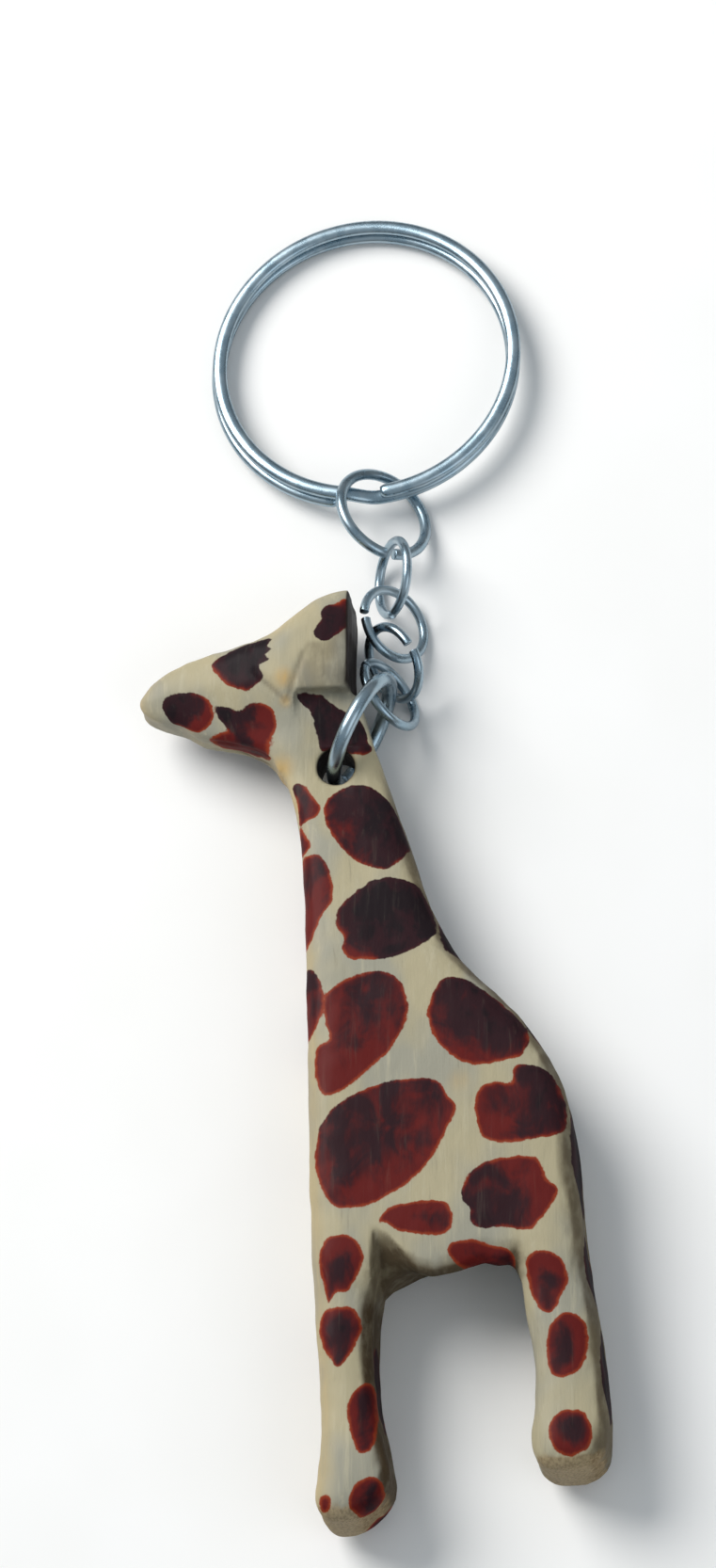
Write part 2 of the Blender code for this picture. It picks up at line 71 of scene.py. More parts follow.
# Spots of paint: how dark, the way its darker side lies in degrees, outline
SPOTS = {
    "ear": (0.75, 215, (
        (-0.3, 16.7), (0.2, 15.3), (-0.2, 14.0), (-1.6, 12.7), (-2.7, 12.2), (-3.5, 13.1),
        (-2.8, 14.3), (-2.7, 15.5), (-1.4, 16.2))),
    "forehead": (1.15, 60, (
        (-13.2, 10.8), (-11.6, 11.9), (-9.3, 12.7), (-7.4, 12.9), (-7.9, 12.1), (-7.4, 11.7),
        (-8.0, 11.2), (-7.6, 10.6), (-8.7, 10.2), (-8.3, 9.0), (-9.1, 8.2), (-10.0, 7.8),
        (-11.6, 8.4), (-12.7, 9.6))),
    "muzzle": (0.50, 140, (
        (-18.2, 7.2), (-17.0, 8.0), (-15.6, 8.1), (-14.0, 7.7), (-13.2, 6.7), (-13.1, 5.4),
        (-13.9, 4.0), (-15.1, 3.7), (-16.9, 4.3), (-18.1, 5.3))),
    "cheek": (0.50, 140, (
        (-12.9, 6.5), (-11.7, 6.5), (-10.7, 6.1), (-9.6, 6.7), (-8.2, 6.5), (-7.3, 5.7),
        (-7.2, 4.4), (-7.9, 3.0), (-9.3, 2.5), (-11.5, 3.2), (-12.1, 4.3))),
    "nape": (1.25, 90, (
        (-5.1, 7.6), (-2.9, 7.4), (-1.5, 6.7), (-0.1, 6.2), (1.5, 5.2), (2.2, 3.1),
        (1.9, 1.5), (-0.2, 1.3), (-1.9, 1.7), (-3.1, 1.9), (-3.5, 3.8), (-3.9, 5.7),
        (-4.8, 6.6))),
    "neck_front": (0.55, 200, (
        (-6.2, -1.3), (-5.2, -0.7), (-4.4, -1.3), (-4.0, -2.2), (-3.0, -3.6), (-3.2, -4.6),
        (-4.3, -5.2), (-5.0, -5.4), (-5.5, -3.4))),
    "neck_upper": (0.75, 20, (
        (-2.7, -3.6), (-1.8, -2.3), (-0.2, -1.5), (1.7, -1.8), (3.5, -2.9), (4.7, -5.0),
        (5.4, -7.1), (5.0, -9.0), (3.4, -10.4), (1.5, -10.1), (-0.3, -8.8), (-1.7, -7.0),
        (-2.4, -5.4))),
    "throat_small": (0.4, 180, (
        (-5.0, -5.7), (-4.1, -6.9), (-3.8, -7.9), (-4.4, -8.5), (-5.2, -8.0))),
    "throat_upper": (0.30, 60, (
        (-4.7, -9.3), (-3.9, -8.7), (-2.8, -8.9), (-2.0, -10.4), (-1.6, -12.4), (-1.8, -13.6),
        (-2.9, -15.4), (-3.8, -17.6), (-4.8, -17.9), (-5.2, -13.0))),
    "neck_lower": (0.88, 30, (
        (-1.3, -16.0), (-1.1, -14.3), (0.2, -12.9), (2.1, -11.6), (4.1, -11.4), (5.9, -12.0),
        (7.0, -13.5), (7.7, -15.4), (7.8, -17.1), (6.4, -18.2), (4.4, -19.3), (2.2, -19.5),
        (0.2, -19.4), (-0.7, -18.4), (-0.5, -17.3))),
    "throat_lower": (0.45, 60, (
        (-4.6, -20.4), (-3.6, -20.1), (-2.8, -21.2), (-2.3, -22.9), (-2.5, -24.5),
        (-3.3, -26.3), (-4.6, -27.0), (-5.2, -23.0))),
    "shoulder": (0.33, 60, (
        (-2.3, -22.9), (-0.4, -21.4), (1.8, -20.7), (3.6, -20.9), (4.8, -22.0), (5.4, -24.1),
        (5.1, -25.9), (3.8, -28.2), (1.8, -30.1), (-0.4, -31.9), (-2.2, -32.4), (-3.0, -31.1),
        (-3.2, -28.8), (-2.8, -27.5), (-1.8, -27.0), (-2.2, -25.2))),
    "back": (0.60, 60, (
        (7.1, -25.0), (7.7, -23.0), (8.8, -21.5), (10.6, -21.7), (12.6, -23.0), (14.5, -24.6),
        (15.8, -26.1), (16.4, -27.3), (15.8, -29.1), (14.1, -29.7), (11.4, -30.0),
        (9.7, -29.3), (8.2, -27.9), (7.5, -26.5), (7.4, -25.6))),
    "chest": (0.46, 130, (
        (-3.1, -37.2), (-2.6, -35.2), (-1.2, -33.4), (0.9, -32.2), (4.0, -31.2), (7.1, -31.1),
        (8.4, -31.7), (9.0, -32.9), (9.8, -33.8), (9.3, -35.2), (8.1, -37.6), (6.6, -39.8),
        (4.4, -41.5), (1.8, -42.8), (-0.8, -43.0), (-2.1, -42.0), (-3.0, -39.5))),
    "rump": (0.50, 20, (
        (11.4, -33.9), (11.9, -32.3), (13.2, -31.7), (14.8, -31.7), (15.0, -30.4),
        (16.2, -30.1), (17.8, -30.5), (18.8, -31.7), (19.5, -33.3), (19.7, -35.1),
        (19.2, -36.6), (17.0, -37.1), (14.4, -37.4), (12.3, -37.0), (11.7, -35.7))),
    "thigh": (0.45, 200, (
        (10.2, -42.4), (10.5, -40.8), (11.8, -39.5), (14.0, -38.8), (16.6, -38.8),
        (17.4, -39.5), (17.9, -40.9), (18.9, -41.8), (18.4, -43.1), (17.2, -44.8),
        (16.1, -45.6), (13.7, -45.2), (12.2, -45.3), (11.1, -44.9), (10.9, -43.5))),
    "belly": (0.20, 0, (
        (2.7, -44.4), (3.6, -43.2), (5.8, -42.7), (7.9, -42.6), (9.0, -43.1), (9.4, -44.4),
        (9.0, -45.5), (7.3, -45.8), (4.7, -45.4), (3.4, -44.6))),
    "flank": (0.30, -20, (
        (8.8, -47.4), (9.4, -46.5), (11.1, -46.3), (12.8, -46.8), (14.5, -47.3),
        (14.8, -48.3), (13.9, -48.8), (11.5, -48.8), (9.8, -48.5))),
    "front_knee": (0.35, -80, (
        (-2.7, -47.3), (-2.2, -46.0), (-0.9, -45.5), (0.6, -46.0), (1.3, -47.6), (0.8, -49.1),
        (-0.1, -50.6), (-1.2, -50.7), (-1.9, -51.6), (-2.2, -50.5), (-2.6, -49.0))),
    "front_shin": (0.45, -60, (
        (-2.8, -54.0), (-2.5, -52.5), (-1.1, -52.0), (0.4, -52.3), (1.1, -53.9), (0.6, -55.2),
        (-0.1, -56.6), (-1.1, -57.5), (-2.1, -56.2), (-2.6, -55.1))),
    "front_ankle": (0.50, 0, (
        (-0.3, -61.4), (0.1, -60.1), (1.2, -59.0), (2.1, -59.3), (2.4, -61.5), (2.3, -63.7),
        (1.9, -65.2), (0.8, -65.4), (0.1, -63.8))),
    "front_foot": (0.25, 0, (
        (-0.2, -69.4), (0.6, -68.1), (1.8, -67.6), (2.8, -68.0), (2.9, -69.7), (2.5, -70.9),
        (1.2, -71.0), (0.1, -70.4))),
    "front_toe": (0.0, 0, (
        (-2.8, -69.2), (-2.0, -69.1), (-1.7, -69.8), (-2.1, -70.5), (-2.7, -70.3))),
    "rear_knee": (0.25, -70, (
        (15.9, -48.5), (16.7, -47.6), (17.9, -47.6), (19.2, -48.4), (19.6, -50.1),
        (19.1, -51.6), (18.1, -53.1), (17.0, -52.6), (16.2, -50.9))),
    "rear_shin": (0.25, 180, (
        (17.6, -56.5), (17.9, -54.6), (18.7, -53.4), (20.0, -53.2), (21.2, -54.3),
        (21.3, -56.4), (20.7, -58.1), (19.2, -59.1), (18.0, -58.5))),
    "rear_foot": (0.35, 90, (
        (17.7, -63.9), (18.1, -62.6), (19.4, -62.0), (20.9, -62.3), (21.6, -63.8),
        (21.3, -65.3), (19.8, -66.2), (18.3, -65.6))),
}

# How a spot is shaded, by the level of its middle: lowest level, how much darker it gets towards its
# darker side, and how much darker it is in its middle than at its edge
SPOT_SHADING = (
    (0.0, 0.90, 0.10),
    (-44.0, 0.45, 0.20),
    (-99.0, 0.35, 0.70),
)

SPOT_DEPTH = 2.6  # nearer than this to the middle of the thickness, a broad side's spot shrinks
SPOT_MARGIN = 3.0  # a spot's field is worked out this far beyond its outline
UNDER_DARKER = 0.12
NO_SPOT = 9.0  # a distance beyond any that is used
FIELD_REACH = 4.0

# Patches of paint on the narrow edges: how dark, centre x, y, z and half sizes x, y, z
EDGE_PATCHES = (
    (0.40, (-10.4, 3.2, 6.6), (3.9, 1.7, 1.9)),
    (0.95, (9.2, -17.4, 6.6), (1.8, 3.4, 3.6)),
    (0.90, (17.0, -26.4, 6.2), (2.6, 3.4, 3.6)),
    (0.95, (20.8, -37.5, 6.2), (2.2, 6.0, 3.8)),
    (0.90, (21.9, -48.5, 6.2), (2.0, 3.8, 3.8)),
    (0.95, (23.2, -58.0, 6.0), (2.0, 4.6, 3.6)),
    (0.70, (-4.4, -36.0, 5.0), (1.8, 4.0, 2.4)),
    (0.70, (-3.4, -53.0, 5.0), (1.4, 3.0, 2.4)),
    (0.80, (2.4, -58.5, 5.0), (1.6, 4.0, 3.0)),
    (0.75, (-15.0, 12.4, 5.0), (2.4, 1.6, 1.8)),
    (0.75, (-1.0, 18.2, 5.0), (2.2, 1.4, 2.4)),
)

# Knife cuts across both broad sides: from, to, depth, width
CUTS = (
    ((-8.4, 8.9), (-6.2, 6.7), 0.16, 0.35),
    ((-4.4, 11.2), (-6.0, 6.8), 0.20, 0.45),
)
MOUTH = ((-13.4, 4.9, 6.4), (-7.2, 2.0, 6.9))  # a groove along the lower edge of the head
JAW_BULGE = 0.7  # the jaw stands out under the mouth
MOUTH_DEPTH = 0.30
MOUTH_WIDTH = 0.45

# Round stains: centre x and y, radius and strength in the middle
STAINS = (
    (-6.3, 8.8, 1.5, 0.9),
    (-6.2, 6.7, 0.9, 0.8),
    (-6.8, 0.6, 1.9, 0.8),
    (-5.3, -3.4, 1.8, 0.5),
    (10.0, -31.4, 1.6, 0.35),
    (-4.0, -45.0, 1.6, 0.3),
)
FRONT_STAIN = 0.28

# The flat facet under the ear, which gets painted shade
FACET = ((-4.9, 10.8), (-4.0, 12.2), (-2.3, 12.3), (-0.3, 13.9), (0.3, 7.9), (-1.2, 7.7), (-5.1, 7.8))

# The belly leans outwards from the table up
BELLY_LEAN = 2.7
BELLY_BOTTOM_SHARE = -0.25
BELLY_FROM = -43.0
BELLY_TO = -47.2

# The chamfer between the front leg and the belly
CHAMFER_FROM = (2.6, -44.9)
CHAMFER_TO = (7.8, -48.8)
CHAMFER_SLOPE = 0.85
LEG_EDGE = 2.3

# Camera, floor and light
VIEW_AZIMUTH = 18.0
VIEW_ELEVATION = 69.0
VIEW_DISTANCE = 550.0
VIEW_TARGET = (0.0, 0.0, 4.0)
LENS = 135.05
SENSOR = 36.0
NEAREST_SEEN = 0.01  # metres

FLOOR_HALF_SIZE = 5.0  # metres
FLOOR_DROP = 0.00005  # metres, so that the floor and the lowest wood aren't in one plane

# Each lamp's place in metres, width in metres, power in watts and colour
LAMPS = {
    "key_light": ((-0.36, 0.27, 0.46), 0.46, 4.5, (1.0, 0.98, 0.95)),
    "fill_light": ((0.45, -0.30, 0.40), 0.5, 0.7, (0.95, 0.98, 1.0)),
}
SKY_LOW = (0.26, 0.25, 0.24)
SKY_HIGH = (0.78, 0.86, 0.92)
SKY_BLEND = (0.05, 0.75)  # heights between which the sky goes from its low to its high colour
SKY_STRENGTH = 0.52


def drawing_offset():
    """From a place in the frame to the same place in the drawing, in millimetres."""
    low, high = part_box("giraffe_carving")
    across = (NOSE_EDGE + REAR_FOOT_BACK) / 2 - (low[0] + high[0]) / 2 / MM
    along = EAR_TOP - high[1] / MM
    return np.array((across, along, 0.0))


OFFSET = drawing_offset()


def new_piece(name, mesh):
    piece = bpy.data.objects.new(name, mesh)
    bpy.context.scene.collection.objects.link(piece)
    return piece


# ---------------------------------------------------------------- the carving's shape


def fine_copy(node, name):
    """A copy of a CAD node's shape with small even faces and softened corners."""
    piece = new_piece(name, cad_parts[node].data.copy())
    remesh = piece.modifiers.new("fine", "REMESH")
    remesh.mode = "VOXEL"
    remesh.voxel_size = VOXEL * MM
    soften = piece.modifiers.new("soften", "SMOOTH")
    soften.factor = 0.5
    soften.iterations = SMOOTHING_PASSES
    depsgraph = bpy.context.evaluated_depsgraph_get()
    mesh = bpy.data.meshes.new_from_object(piece.evaluated_get(depsgraph))
    piece.modifiers.clear()
    piece.data = mesh
    mesh.name = name
    mesh.materials.clear()
    return piece


def read_points(mesh):
    points = np.empty(len(mesh.vertices) * 3)
    mesh.vertices.foreach_get("co", points)
    return points.reshape(-1, 3) / MM + OFFSET


def write_points(mesh, points):
    mesh.vertices.foreach_set("co", ((points - OFFSET) * MM).ravel())
    mesh.update()


def read_normals(mesh):
    normals = np.empty(len(mesh.vertices) * 3)
    mesh.vertex_normals.foreach_get("vector", normals)
    return normals.reshape(-1, 3)


def smooth_step(low, high, value):
    share = np.clip((value - low) / (high - low), 0.0, 1.0)
    return share * share * (3.0 - 2.0 * share)


def edge_distance(points, normals):
    """How far each point lies in from the carving's outline, seen from above."""
    rim = points[(np.abs(normals[:, 2]) < 0.3) & (np.abs(points[:, 2] - MIDDLE) < 1.2)]
    tree = kdtree.KDTree(len(rim))
    for number, place in enumerate(rim):
        tree.insert((place[0], place[1], 0.0), number)
    tree.balance()
    return np.array([tree.find((x, y, 0.0))[2] for x, y, _ in points])


def segment_distance(points, start, end):
    """Distance in plan from each point to a straight stroke, and how far along it that is."""
    start = np.array(start)
    run = np.array(end) - start
    share = np.clip(((points[:, :2] - start) @ run) / (run @ run), 0.0, 1.0)
    return np.linalg.norm(points[:, :2] - start - share[:, None] * run, axis=1), share


def wave(points, length, seed):
    """Smooth noise between about -1 and 1 at each point."""
    shift = Vector((seed * 17.3, seed * 5.1, seed * 9.7))
    return np.array([noise.noise(Vector(p) / length + shift) for p in points])


def facets(points, size, seed):
    """Shallow scallops with ridges between them, as a knife leaves: 0 in the middle of each, 1 at a ridge."""
    shift = Vector((seed * 3.1, seed * 7.9, seed))
    depths = []
    for p in points:
        near, next_near = noise.voronoi(Vector((p[0] / size, p[1] / size / 2.2, p[2] / size)) + shift)[0][:2]
        depths.append(1.0 - min(next_near - near, 1.0))
    return np.array(depths)


def chamfer_drop(points):
    """How far the chamfer between the front leg and the belly lies under the broad side."""
    start = np.array(CHAMFER_FROM)
    run = np.array(CHAMFER_TO) - start
    away = np.array((run[1], -run[0])) / np.linalg.norm(run)
    beyond = (points[:, :2] - start) @ away
    inside = smooth_step(LEG_EDGE - 0.3, LEG_EDGE + 0.3, points[:, 0])
    inside = inside * smooth_step(12.0, 9.0, points[:, 0]) * smooth_step(-58.0, -53.0, points[:, 1])
    return CHAMFER_SLOPE * np.clip(beyond, 0.0, None) * inside


def lean_belly(points):
    """Moves the belly's edge out at the top and in at the bottom."""
    below = smooth_step(BELLY_FROM, BELLY_TO, points[:, 1]) * smooth_step(-54.0, -50.0, points[:, 1])
    between = smooth_step(3.4, 7.6, points[:, 0]) * smooth_step(15.6, 13.2, points[:, 0])
    share = np.clip((points[:, 2] - MIDDLE) / MIDDLE, BELLY_BOTTOM_SHARE, 1.0)
    points[:, 1] -= BELLY_LEAN * below * between * share


def mouth_distance(points):
    """Distance from each point to the groove of the mouth, on the near and the far side alike."""
    start, end = (np.array(place) for place in MOUTH)
    run = end - start
    mirrored = points.copy()
    mirrored[:, 2] = MIDDLE + np.abs(points[:, 2] - MIDDLE)
    share = np.clip(((mirrored - start) @ run) / (run @ run), 0.0, 1.0)
    return np.linalg.norm(mirrored - start - share[:, None] * run, axis=1)


def carve(mesh):
    """Crowns the broad sides, cuts the knife marks and leaves the small waves of hand work."""
    points = read_points(mesh)
    normals = read_normals(mesh)
    inward = edge_distance(points, normals)
    side = np.sign(points[:, 2] - MIDDLE)
    broad = smooth_step(0.2, 0.8, np.abs(normals[:, 2]))
    half = np.abs(points[:, 2] - MIDDLE)
    fall = CROWN * np.clip(1.0 - inward / CROWN_WIDTH, 0.0, 1.0) ** 2 * np.clip(half / MIDDLE, 0.0, 1.0)
    fall = fall + chamfer_drop(points) * (half / MIDDLE)
    for start, end, depth, width in CUTS:
        distance, share = segment_distance(points, start, end)
        ends = smooth_step(0.0, 0.25, share) * smooth_step(1.0, 0.75, share)
        fall = fall + depth * np.clip(1.0 - distance / width, 0.0, 1.0) * (0.4 + 0.6 * ends) * broad
    points[:, 2] -= side * fall
    mouth = mouth_distance(points)
    points[:, 1] -= JAW_BULGE * smooth_step(3.2, 0.8, mouth) * smooth_step(0.0, 0.5, -normals[:, 1])
    points -= normals * (MOUTH_DEPTH * np.clip(1.0 - mouth / MOUTH_WIDTH, 0.0, 1.0))[:, None]
    lean_belly(points)
    edges = smooth_step(3.0, 0.5, inward)
    lift = HAND_WAVE * wave(points, HAND_WAVE_LENGTH, 1) + 0.4 * HAND_WAVE * wave(points, 1.6, 2)
    lift = lift - FACET_DEPTH * (1.0 - facets(points, FACET_SIZE, 3)) * edges
    points = points + normals * lift[:, None]
    points[:, 2] = np.clip(points[:, 2], 0.0, None)
    write_points(mesh, points)


# ---------------------------------------------------------------- the carving's paint


def smooth_outline(corners):
    """Points along a closed smooth curve through the corners."""
    corners = np.array(corners)
    before = np.roll(corners, 1, axis=0)
    after = np.roll(corners, -1, axis=0)
    later = np.roll(corners, -2, axis=0)
    points = []
    for share in (0.0, 0.25, 0.5, 0.75):
        s2, s3 = share**2, share**3
        points.append(
            0.5
            * (
                2 * corners
                + (after - before) * share
                + (2 * before - 5 * corners + 4 * after - later) * s2
                + (3 * corners - before - 3 * after + later) * s3
            )
        )
    return np.stack(points, axis=1).reshape(-1, 2)


def signed_distance(places, outline):
    """Distance to a closed outline, negative inside it."""
    starts = outline
    ends = np.roll(outline, -1, axis=0)
    nearest = np.full(len(places), 1e9)
    inside = np.zeros(len(places), dtype=bool)
    for start, end in zip(starts, ends):
        run = end - start
        share = np.clip(((places - start) @ run) / max(run @ run, 1e-9), 0.0, 1.0)
        nearest = np.minimum(nearest, np.linalg.norm(places - start - share[:, None] * run, axis=1))
        crosses = (start[1] > places[:, 1]) != (end[1] > places[:, 1])
        height = end[1] - start[1]
        if height != 0.0:
            at = start[0] + (places[:, 1] - start[1]) / height * run[0]
            inside ^= crosses & (places[:, 0] < at)
    return np.where(inside, -nearest, nearest)


def paint_fields(points):
    """Signed distance to the nearest edge of paint, and how dark the paint is there."""
    edge = np.full(len(points), NO_SPOT)
    dark = np.full(len(points), 0.5)
    half = np.abs(points[:, 2] - MIDDLE)
    under = points[:, 2] < MIDDLE
    down_the_side = np.clip(SPOT_DEPTH - half, 0.0, None)
    for name, (tone, heading, corners) in SPOTS.items():
        outline = smooth_outline(corners)
        middle = outline.mean(axis=0)
        radius = np.linalg.norm(outline - middle, axis=1).max()
        near = np.linalg.norm(points[:, :2] - middle, axis=1) < radius + SPOT_MARGIN
        if not near.any():
            continue
        distance = signed_distance(points[near, :2], outline) + down_the_side[near]
        way = np.array((math.cos(math.radians(heading)), math.sin(math.radians(heading))))
        across = ((points[near, :2] - middle) @ way) / radius
        deep = np.clip(-distance / (0.6 * radius), 0.0, 1.0) - 0.5
        side_weight, centre_weight = next(row[1:] for row in SPOT_SHADING if middle[1] > row[0])
        shade = tone + side_weight * across + centre_weight * deep + np.where(under[near], UNDER_DARKER, 0.0)
        closer = distance < edge[near]
        numbers = np.flatnonzero(near)[closer]
        edge[numbers] = distance[closer]
        dark[numbers] = shade[closer]
    for tone, centre, sizes in EDGE_PATCHES:
        reach = np.linalg.norm((points - np.array(centre)) / np.array(sizes), axis=1)
        distance = (reach - 1.0) * min(sizes)
        closer = distance < edge
        edge[closer] = distance[closer]
        dark[closer] = tone
    return np.clip(edge, -FIELD_REACH, FIELD_REACH), np.clip(dark, 0.0, 1.0)


def sawn_stain_and_bore_shade_field(points, normals):
    """The sawn back of the ear block, stained dark with painted shade over it, and the wall of the cross
    hole, where the dark is painted shade.
    """
    faces_back = smooth_step(0.35, 0.8, normals[:, 0])
    ear = faces_back * smooth_step(7.6, 8.6, points[:, 1]) * smooth_step(-3.0, -1.5, points[:, 0])
    # painted shade on the wall of the cross hole
    reach = np.linalg.norm(points[:, :2] - np.array(HOLE_SPOT), axis=1)
    bore = smooth_step(0.9, 0.5, np.abs(normals[:, 2])) * smooth_step(2.9, 2.4, reach)
    return np.maximum(ear, bore)


def raw_field(points, normals):
    """Bare wood on the soles."""
    front = smooth_step(-69.6, -71.0, points[:, 1] - 0.15 * np.abs(points[:, 0]))
    rear = smooth_step(-65.9, -66.9, points[:, 1]) * smooth_step(10.0, 14.0, points[:, 0])
    facing = smooth_step(0.25, 0.75, -normals[:, 1]) * smooth_step(-60.0, -64.0, points[:, 1])
    return np.clip(np.maximum(front, rear) * 0.6 + facing * 0.8, 0.0, 1.0)


def painted_shade_field(points, normals):
    """Brown painted shade: between the legs and on the chamfer, in the knife cuts and the mouth groove, on
    the facet under the ear, and on the sides that face away from the key light.
    """
    # painted shade under the belly, between the legs and on the chamfer
    between = smooth_step(0.15, 0.55, -normals[:, 1]) * smooth_step(-44.0, -47.0, points[:, 1])
    between = between * smooth_step(-56.0, -52.0, points[:, 1])
    darkening = np.maximum(0.95 * between, 0.55 * smooth_step(0.1, 1.2, chamfer_drop(points)))
    for start, end, _, width in CUTS:
        distance, _ = segment_distance(points, start, end)
        darkening = np.maximum(darkening, 0.4 * smooth_step(width, 0.1, distance))
    facet = smooth_step(0.25, -0.25, signed_distance(points[:, :2], np.array(FACET)))
    darkening = np.maximum(darkening, 0.36 * facet)
    darkening = np.maximum(darkening, 0.9 * smooth_step(0.40, 0.12, mouth_distance(points)))
    inner = smooth_step(0.25, 0.7, normals[:, 0]) * smooth_step(-48.0, -52.0, points[:, 1])
    inner = inner * smooth_step(6.0, 4.0, points[:, 0])
    # painted shade on the inner side of the front leg and on the sides that face +x, away from the key light
    behind = smooth_step(0.25, 0.65, normals[:, 0]) * smooth_step(2.0, -6.0, points[:, 1])
    for field in (inner, 0.8 * behind):
        darkening = np.maximum(darkening, field)
    return darkening


def stain_field(points, normals):
    """Yellow-orange stain: in the notch behind the brow, at the throat and down the front edge."""
    stain = np.zeros(len(points))
    for x, y, radius, strength in STAINS:
        reach = np.linalg.norm(points[:, :2] - np.array((x, y)), axis=1)
        stain = np.maximum(stain, strength * smooth_step(radius, 0.0, reach))
    front = smooth_step(0.1, 0.8, -normals[:, 0]) * smooth_step(4.0, -2.0, points[:, 0])
    return np.maximum(stain, FRONT_STAIN * front)


def store(mesh, name, values):
    attribute = mesh.attributes.new(name, "FLOAT", "POINT")
    attribute.data.foreach_set("value", values.astype(np.float32))


# ---------------------------------------------------------------- node helpers


class Shader:
    """Builds one material out of nodes."""

    def __init__(self, name):
        self.material = bpy.data.materials.new(name)
        self.material.use_nodes = True
        self.tree = self.material.node_tree
        self.surface = self.tree.nodes["Principled BSDF"]

    def node(self, kind, **settings):
        made = self.tree.nodes.new(kind)
        for key, value in settings.items():
            setattr(made, key, value)
        return made

    def put(self, socket, value):
        if isinstance(value, bpy.types.NodeSocket):
            self.tree.links.new(value, socket)
        elif isinstance(value, tuple) and len(value) == 3 and socket.type == "RGBA":
            socket.default_value = (*value, 1.0)
        else:
            socket.default_value = value

    def attribute(self, name):
        return self.node("ShaderNodeAttribute", attribute_name=name).outputs["Fac"]

    def place(self, scale):
        """The surface's own coordinates, in units of so many per millimetre along each axis."""
        mapping = self.node("ShaderNodeMapping")
        self.put(mapping.inputs["Scale"], tuple(s / MM for s in scale))
        self.put(mapping.inputs["Vector"], self.node("ShaderNodeTexCoord").outputs["Object"])
        return mapping.outputs["Vector"]

    def noise(self, scale, detail=3.0, roughness=0.55, distortion=0.0):
        made = self.node("ShaderNodeTexNoise")
        self.put(made.inputs["Vector"], self.place(scale))
        self.put(made.inputs["Scale"], 1.0)
        self.put(made.inputs["Detail"], detail)
        self.put(made.inputs["Roughness"], roughness)
        self.put(made.inputs["Distortion"], distortion)
        return made.outputs["Fac"]

    def math(self, operation, first, second=0.0, clamp=False):
        made = self.node("ShaderNodeMath", operation=operation, use_clamp=clamp)
        self.put(made.inputs[0], first)
        self.put(made.inputs[1], second)
        return made.outputs[0]

    def ramp(self, value, low, high, to_low=0.0, to_high=1.0):
        made = self.node("ShaderNodeMapRange", interpolation_type="SMOOTHSTEP")
        for name, number in zip(("From Min", "From Max", "To Min", "To Max"), (low, high, to_low, to_high)):
            self.put(made.inputs[name], number)
        self.put(made.inputs["Value"], value)
        return made.outputs["Result"]

    def mix(self, share, first, second):
        made = self.node("ShaderNodeMix", data_type="RGBA")
        self.put(made.inputs["Factor"], share)
        self.put(made.inputs[6], first)
        self.put(made.inputs[7], second)
        return made.outputs[2]

    def bump(self, height, distance, before=None):
        made = self.node("ShaderNodeBump")
        self.put(made.inputs["Strength"], 1.0)
        self.put(made.inputs["Distance"], distance * MM)
        self.put(made.inputs["Height"], height)
        if before is not None:
            self.put(made.inputs["Normal"], before)
        return made.outputs["Normal"]

    def set(self, **values):
        for name, value in values.items():
            self.put(self.surface.inputs[name.replace("_", " ")], value)


# ---------------------------------------------------------------- materials

CREAM = (0.385, 0.340, 0.222)
CREAM_LIGHT = (0.450, 0.410, 0.290)
CREAM_GREY = (0.300, 0.288, 0.228)
GRAIN_LINE = (0.190, 0.172, 0.125)
YELLOW_STAIN = (0.480, 0.300, 0.090)
# colour of the painted shade
SHADE_BROWN = (0.060, 0.040, 0.021)
RAW_WOOD = (0.360, 0.270, 0.150)
RAW_WOOD_DARK = (0.210, 0.145, 0.075)
PAINT_RED = (0.105, 0.008, 0.007)
PAINT_ORANGE = (0.230, 0.032, 0.010)
PAINT_PURPLE = (0.022, 0.006, 0.009)
PAINT_BLUE_BLACK = (0.006, 0.004, 0.006)
# dark stain on the sawn back of the ear, with painted shade there and on the wall of the cross hole
SAWN_STAIN_AND_SHADE = (0.020, 0.012, 0.010)
# the blue in these steel colours is a painted reflection of the sky; the grey is the plating's own
STEEL_DARK = (0.27, 0.37, 0.44)
STEEL_LIGHT = (0.36, 0.45, 0.51)
STEEL_SCUFF = (0.22, 0.23, 0.24)


